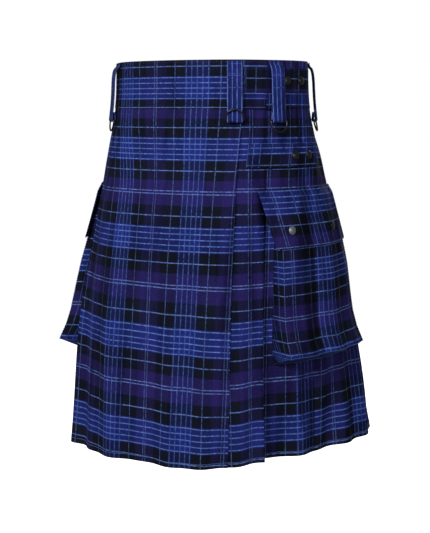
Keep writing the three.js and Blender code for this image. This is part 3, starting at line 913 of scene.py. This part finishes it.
flap_half = FLAP["width"] / 2
flap_downs = [
    0, 0.7, 2, *np.linspace(6, FLAP["height"] - 6, 20),
    FLAP["height"] - 2, FLAP["height"] - 0.7, FLAP["height"]]
flap_acrosses = [
    -flap_half, -flap_half + 0.7, -flap_half + 2, *np.linspace(-flap_half + 6, flap_half - 6, 40),
    flap_half - 2, flap_half - 0.7, flap_half]
for pocket in POCKETS:
    outer, woven = bag_grid(pocket, 0)
    inner, _ = bag_grid(pocket, POCKET["cloth"])
    outer, inner, woven = split_gussets(outer), split_gussets(inner), split_gussets(woven)
    bag = f"pocket_bag_{pocket['name']}"
    piece = cloth_shell(bag + "_cloth", outer, inner, woven, twill, bag)
    declare_cut((outer + inner) / 2)
    grids = {"outer": [], "middle": [], "inner": []}
    woven = []
    for down in flap_downs:
        rows = {"outer": [], "middle": [], "inner": []}
        for across in flap_acrosses:
            near = min(down, FLAP["height"] - down, flap_half - abs(across))
            bulge = FLAP["cloth"] / 2 * min(1.0, 0.35 + near / 2)
            station, drop, out = flap_place(pocket, across, down)
            for key, side in (("outer", 1), ("middle", 0), ("inner", -1)):
                rows[key].append(on_body(station, drop, out + FLAP["cloth"] / 2 + side * bulge)[0])
        for key in rows:
            grids[key].append(rows[key])
        woven.append([(pocket["side"] * across + 75, down + 49.5) for across in flap_acrosses])
    grids = {key: np.array(value) for key, value in grids.items()}
    flap = f"pocket_flap_{pocket['name']}"
    piece = cloth_shell(flap + "_cloth", grids["outer"], grids["inner"], np.array(woven), twill, flap)
    declare_cut(grids["middle"])

# Snap caps, 14 mm stamped domes with a rolled rim, pressed through the tabs and the flaps
STUD_RADIUS, STUD_HEIGHT, STUD_CLEAR, STUD_SIDES = 6.8, 2.6, 0.9, 32
# the cap's section from its foot to its top: share of the radius, share of the height
STUD_PROFILE = [
    (0.93, 0), (0.99, 0.1), (1.0, 0.22), (0.96, 0.36), (0.88, 0.42),
    (0.82, 0.5), (0.7, 0.74), (0.5, 0.92), (0.25, 0.99)]


def snap_cap(node, station, drop, out, material):
    foot = on_body(station, drop, out)[0]
    ahead = (on_body(station + 5, drop, out) - on_body(station - 5, drop, out))[0]
    down = (on_body(station, drop + 5, out) - on_body(station, drop - 5, out))[0]
    outward = np.cross(down, ahead)
    outward /= np.linalg.norm(outward)
    ahead /= np.linalg.norm(ahead)
    upright = np.cross(outward, ahead)
    foot = foot + outward * STUD_CLEAR
    points, faces = [], []
    for share, height in STUD_PROFILE:
        reach = STUD_RADIUS * share
        for k in range(STUD_SIDES):
            turn = 2 * math.pi * k / STUD_SIDES
            rim = ahead * reach * math.cos(turn) + upright * reach * math.sin(turn)
            points.append(foot + rim + outward * STUD_HEIGHT * height)
    last = (len(STUD_PROFILE) - 1) * STUD_SIDES
    for k in range(STUD_SIDES):
        n = (k + 1) % STUD_SIDES
        for here in range(0, last, STUD_SIDES):
            faces.append((here + k, here + n, here + STUD_SIDES + n, here + STUD_SIDES + k))
        faces.append((len(points), n, k))
        faces.append((len(points) + 1, last + k, last + n))
    points += [foot, foot + outward * STUD_HEIGHT]
    mesh = metal_mesh(node, points, faces)
    finish_piece(node + "_cap", mesh, material, node, "kilt", 60)


for tab in TABS:
    for i, station in enumerate(tab["studs"]):
        out = float(tab_inner(tab, station)) + TAB_CLOTH
        drop = tab["top"] + tab["height"] / 2
        snap_cap(f"{tab['name']}_stud_{i + 1}", station, drop, out, gunmetal)
for pocket in POCKETS:
    for i, across in enumerate(FLAP["studs"]):
        place = flap_place(pocket, pocket["side"] * across, FLAP["height"] - FLAP["stud_up"])
        station, drop, out = place
        # the first cap on each flap takes the pale copy, a painted reflection; the second keeps the plain
        # gunmetal
        plate, slot = ((nickel, "nickel"), (gunmetal, "gunmetal"))[i]
        snap_cap(f"flap_{pocket['name']}_stud_{i + 1}", station, drop, out + FLAP["cloth"], plate)

# Stitching: lockstitch in a polyester thread, 3 mm to the stitch, drawn a little thicker than
# it is so that it shows. Light blue thread runs round the hem and the pockets, dark elsewhere.
STITCH_PITCH, STITCH_LENGTH = 3, 2.1
STITCH_LIFT = 0.12


# Spun thread has a dull gleam, and its plies show as fine light and dark
def thread(name, colour):
    material = bpy.data.materials.new(name)
    material.use_nodes = True
    tree = material.node_tree
    surface = tree.nodes["Principled BSDF"]
    place = add_node(tree, "ShaderNodeTexCoord").outputs["Object"]
    ply = add_node(tree, "ShaderNodeTexNoise", Scale=1400.0, Detail=2.0, Vector=place)
    shade = thread_ramp(tree, ply.outputs[0], [(0.3, [0.6 * c for c in colour[:3]] + [1]), (0.7, colour)])
    tree.links.new(shade, surface.inputs["Base Color"])
    surface.inputs["Roughness"].default_value = 0.6
    return material


light_thread = thread("light blue polyester thread", linear("#5470ae"))
dark_thread = thread("dark blue polyester thread", linear("#1a1d4e"))


def stitch_tree(name, material):
    tree = bpy.data.node_groups.new(name, "GeometryNodeTree")
    tree.interface.new_socket("Seams", in_out="INPUT", socket_type="NodeSocketGeometry")
    for label in ("Pitch", "Stitch length", "Thread thickness"):
        tree.interface.new_socket(label, in_out="INPUT", socket_type="NodeSocketFloat")
    tree.interface.new_socket("Stitches", in_out="OUTPUT", socket_type="NodeSocketGeometry")
    given = add_node(tree, "NodeGroupInput")
    curve = add_node(tree, "GeometryNodeMeshToCurve", _0=given.outputs[0])
    spaced = add_node(
        tree, "GeometryNodeResampleCurve", {"mode": "LENGTH"},
        Curve=curve.outputs[0], Length=given.outputs[1])
    along = add_node(tree, "GeometryNodeInputTangent")
    turned = add_node(
        tree, "FunctionNodeAlignRotationToVector", {"axis": "Z"}, Vector=along.outputs[0])
    radius = add_node(tree, "ShaderNodeMath", {"operation": "MULTIPLY"}, _0=given.outputs[3], _1=0.5)
    stitch = add_node(
        tree, "GeometryNodeMeshCylinder", Vertices=6, Radius=radius.outputs[0], Depth=given.outputs[2])
    placed = add_node(
        tree, "GeometryNodeInstanceOnPoints",
        Points=spaced.outputs[0], Instance=stitch.outputs[0], Rotation=turned.outputs[0])
    real = add_node(tree, "GeometryNodeRealizeInstances", _0=placed.outputs[0])
    dressed = add_node(tree, "GeometryNodeSetMaterial", Geometry=real.outputs[0], Material=material)
    out = add_node(tree, "NodeGroupOutput")
    tree.links.new(dressed.outputs[0], out.inputs[0])
    return tree


def stitch_rows(name, seams, material, thickness=0.55):
    points, edges = [], []
    for seam in seams:
        first = len(points)
        points += [list(p * 0.001) for p in seam]
        edges += [(first + i, first + i + 1) for i in range(len(seam) - 1)]
    mesh = bpy.data.meshes.new(name + "_seams")
    mesh.from_pydata(points, edges, [])
    guide = bpy.data.objects.new(name + "_seams", mesh)
    bpy.context.scene.collection.objects.link(guide)
    modifier = guide.modifiers.new("stitches", "NODES")
    modifier.node_group = stitch_tree(name, material)
    sizes = {"Pitch": STITCH_PITCH, "Stitch length": STITCH_LENGTH, "Thread thickness": thickness}
    for socket in modifier.node_group.interface.items_tree:
        if socket.name in sizes:
            modifier[socket.identifier] = sizes[socket.name] * 0.001
    ready = guide.evaluated_get(bpy.context.evaluated_depsgraph_get())
    made = bpy.data.meshes.new_from_object(ready)
    guide.modifiers.remove(modifier)
    bpy.data.objects.remove(guide)
    made.name = name
    piece = bpy.data.objects.new(name, made)
    bpy.context.scene.collection.objects.link(piece)
    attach(piece, "kilt")


def level_seam(start, end, drop, out_at):
    station = np.linspace(start, end, int(abs(end - start) / 4) + 2)
    return on_body(station, drop, out_at(station, drop) + STITCH_LIFT)


HEM_STITCH = LENGTH - 8
hem_edge = {name: edge_at(name, HEM_STITCH) for name in EDGES}
hem_layers = [
    (hem_edge["apron_right"], hem_edge["apron_left"], apron_inner),
    (hem_edge["apron_left"], hem_edge["closing"], closing_inner),
    (hem_edge["closing"], hem_edge["side_back"], left_side_inner),
    (-hem_edge["side_back"], hem_edge["apron_right"], right_side_inner),
]
hem_seams = [
    level_seam(start, end, HEM_STITCH, lambda s, d: layer(s, d) + CLOTH)
    for start, end, layer in hem_layers]
stitch_rows("hem_stitching", hem_seams, light_thread, 0.9)


def band_face(station, drop):
    return np.full_like(station, BAND_CLOTH)


BAND_STITCH, TAB_STITCH = 3.5, 3
band_seams = []
for drop in (BAND_STITCH, BAND - BAND_STITCH):
    band_seams.append(level_seam(-SIDE_SEAM + 2, CLOSING_TOP - 3, drop, band_face))
    band_seams.append(level_seam(CLOSING_TOP + 6, girth(drop) - SIDE_SEAM - 3, drop, band_face))
band_seams.append(np.vstack([
    on_body(CLOSING_TOP - 3, drop, BAND_CLOTH + STITCH_LIFT)
    for drop in np.linspace(BAND_STITCH, BAND - BAND_STITCH, 18)]))
for tab in TABS:
    low, high = tab["top"] + TAB_STITCH, tab["top"] + tab["height"] - TAB_STITCH
    near, far = tab["from"] + TAB_STITCH, tab["to"] - TAB_STITCH
    for drop in (low, high):
        band_seams.append(level_seam(near, far, drop, lambda s, d: tab_inner(tab, s) + TAB_CLOTH))
    for station in (near, far):
        out = float(tab_inner(tab, station)) + TAB_CLOTH + STITCH_LIFT
        band_seams.append(np.vstack([
            on_body(station, drop, out) for drop in np.linspace(low, high, 10)]))
stitch_rows("band_and_tab_stitching", band_seams, dark_thread)

STRAP_STITCH = STRAP["width"] / 2 - 2.6
strap_seams = []
for strap in STRAPS:
    path = strap_path(strap)
    above = path + strap_facing(path) * (STRAP["cloth"] / 2 + STITCH_LIFT)
    for across in (-STRAP_STITCH, STRAP_STITCH):
        strap_seams.append(np.array([strap_point(strap, out, drop, across) for out, drop in above]))
stitch_rows("strap_stitching", strap_seams, dark_thread)

FLAP_STITCH = 3.5
flap_side, flap_foot = flap_half - FLAP_STITCH, FLAP["height"] - FLAP_STITCH
flap_level = np.linspace(-flap_side, flap_side, 45)
flap_fall = np.linspace(2, flap_foot, 24)
flap_paths = [
    [(across, flap_foot) for across in flap_level],
    [(-flap_side, down) for down in flap_fall],
    [(flap_side, down) for down in flap_fall],
    [(across, 4.0) for across in flap_level],
]
pocket_seams, flap_seams = [], []
for pocket in POCKETS:
    outer, _ = bag_grid(pocket, 0)
    middle = pocket_station(pocket, 0, 400)
    lift = (on_body(middle, 400, 1)[0] - on_body(middle, 400, 0)[0]) * 0.5
    pocket_seams.append(outer[-2, 1:-1] + lift)
    pocket_seams.append(outer[6:-1, 1] + lift)
    pocket_seams.append(outer[6:-1, -2] + lift)
    pocket_seams.append(outer[-1] * 0.86 + outer[-2] * 0.14 + lift)
    for path in flap_paths:
        seam = []
        for across, down in path:
            station, drop, out = flap_place(pocket, across, down)
            seam.append(on_body(station, drop, out + FLAP["cloth"] + STITCH_LIFT)[0])
        flap_seams.append(np.array(seam))
stitch_rows("pocket_stitching", pocket_seams, light_thread, 0.8)
stitch_rows("flap_stitching", flap_seams, dark_thread)

# The studio: a pale floor well under the hem, soft white light all round and a large key
# light from the front
FLOOR = -1.02
floor_corners = [(-9, -9, FLOOR), (9, -9, FLOOR), (9, 9, FLOOR), (-9, 9, FLOOR)]
floor_mesh = bpy.data.meshes.new("floor")
floor_mesh.from_pydata(floor_corners, [], [(0, 1, 2, 3)])
floor = bpy.data.objects.new("floor", floor_mesh)
bpy.context.scene.collection.objects.link(floor)
# White studio paper, lit so far up that it shows no horizon and no shadow. It is kept out of
# the light that falls on the cloth.
paper = bpy.data.materials.new("white studio paper")
paper.use_nodes = True
sheet = paper.node_tree.nodes["Principled BSDF"]
sheet.inputs["Base Color"].default_value = linear("#f8f8f8")
sheet.inputs["Roughness"].default_value = 0.95
sheet.inputs["Emission Color"].default_value = (1, 1, 1, 1)
sheet.inputs["Emission Strength"].default_value = 0.9
floor_mesh.materials.append(paper)
floor.visible_diffuse = False
floor.visible_glossy = False
world = bpy.data.worlds.new("studio")
bpy.context.scene.world = world
world.use_nodes = True
air = world.node_tree
dim = air.nodes["Background"]
dim.inputs["Color"].default_value = (1, 1, 1, 1)
dim.inputs["Strength"].default_value = 0.2
white = add_node(air, "ShaderNodeBackground", Color=(1, 1, 1, 1), Strength=1.0)
seen = add_node(air, "ShaderNodeLightPath").outputs["Is Camera Ray"]
either = add_node(air, "ShaderNodeMixShader", _0=seen, _1=dim.outputs[0], _2=white.outputs[0])
air.links.new(either.outputs[0], air.nodes["World Output"].inputs["Surface"])
bpy.context.scene.view_settings.view_transform = "Standard"


def soft_light(name, place, target, size, watts):
    lamp = bpy.data.lights.new(name, "AREA")
    lamp.shape = "DISK"
    lamp.size = size
    lamp.energy = watts
    holder = bpy.data.objects.new(name, lamp)
    holder.location = place
    holder.rotation_euler = (Vector(target) - Vector(place)).to_track_quat("-Z", "Y").to_euler()
    bpy.context.scene.collection.objects.link(holder)


soft_light("key", (-0.05, -2.6, 0.9), (0, 0, -0.15), 0.9, 58)
soft_light("fill", (2.2, -1.6, 0.3), (0, 0, -0.25), 1.0, 10)
soft_light("back", (-0.4, 2.6, 0.9), (0, 0, -0.25), 1.5, 40)

# The camera, at the photograph's place: 27 degrees round to the wearer's left, level with the
# waistband and tipped down
AZIMUTH, DISTANCE, PITCH, CAMERA_HEIGHT = math.radians(27), 1.810, math.radians(8.2), -0.036
FOCAL_PIXELS, FRAME_HEIGHT, FRAME_MIDDLE, KILT_MIDDLE = 1097, 533, 215, 210
SENSOR = 36
camera = bpy.data.objects.new("camera", bpy.data.cameras.new("camera"))
bpy.context.scene.collection.objects.link(camera)
forward = Vector((-math.sin(AZIMUTH), math.cos(AZIMUTH), 0))
sideways = Vector((math.cos(AZIMUTH), math.sin(AZIMUTH), 0))
turn = math.atan2(KILT_MIDDLE - FRAME_MIDDLE, FOCAL_PIXELS)
level_ahead = forward * math.cos(turn) - sideways * math.sin(turn)
level_side = sideways * math.cos(turn) + forward * math.sin(turn)
upright = Vector((0, 0, 1))
look = level_ahead * math.cos(PITCH) - upright * math.sin(PITCH)
head = upright * math.cos(PITCH) + level_ahead * math.sin(PITCH)
placed = Matrix((level_side, head, -look)).transposed().to_4x4()
placed.translation = Vector(
    (DISTANCE * math.sin(AZIMUTH), -DISTANCE * math.cos(AZIMUTH), CAMERA_HEIGHT))
camera.matrix_world = placed
camera.data.sensor_width = SENSOR
camera.data.lens = FOCAL_PIXELS / FRAME_HEIGHT * SENSOR
bpy.context.scene.camera = camera
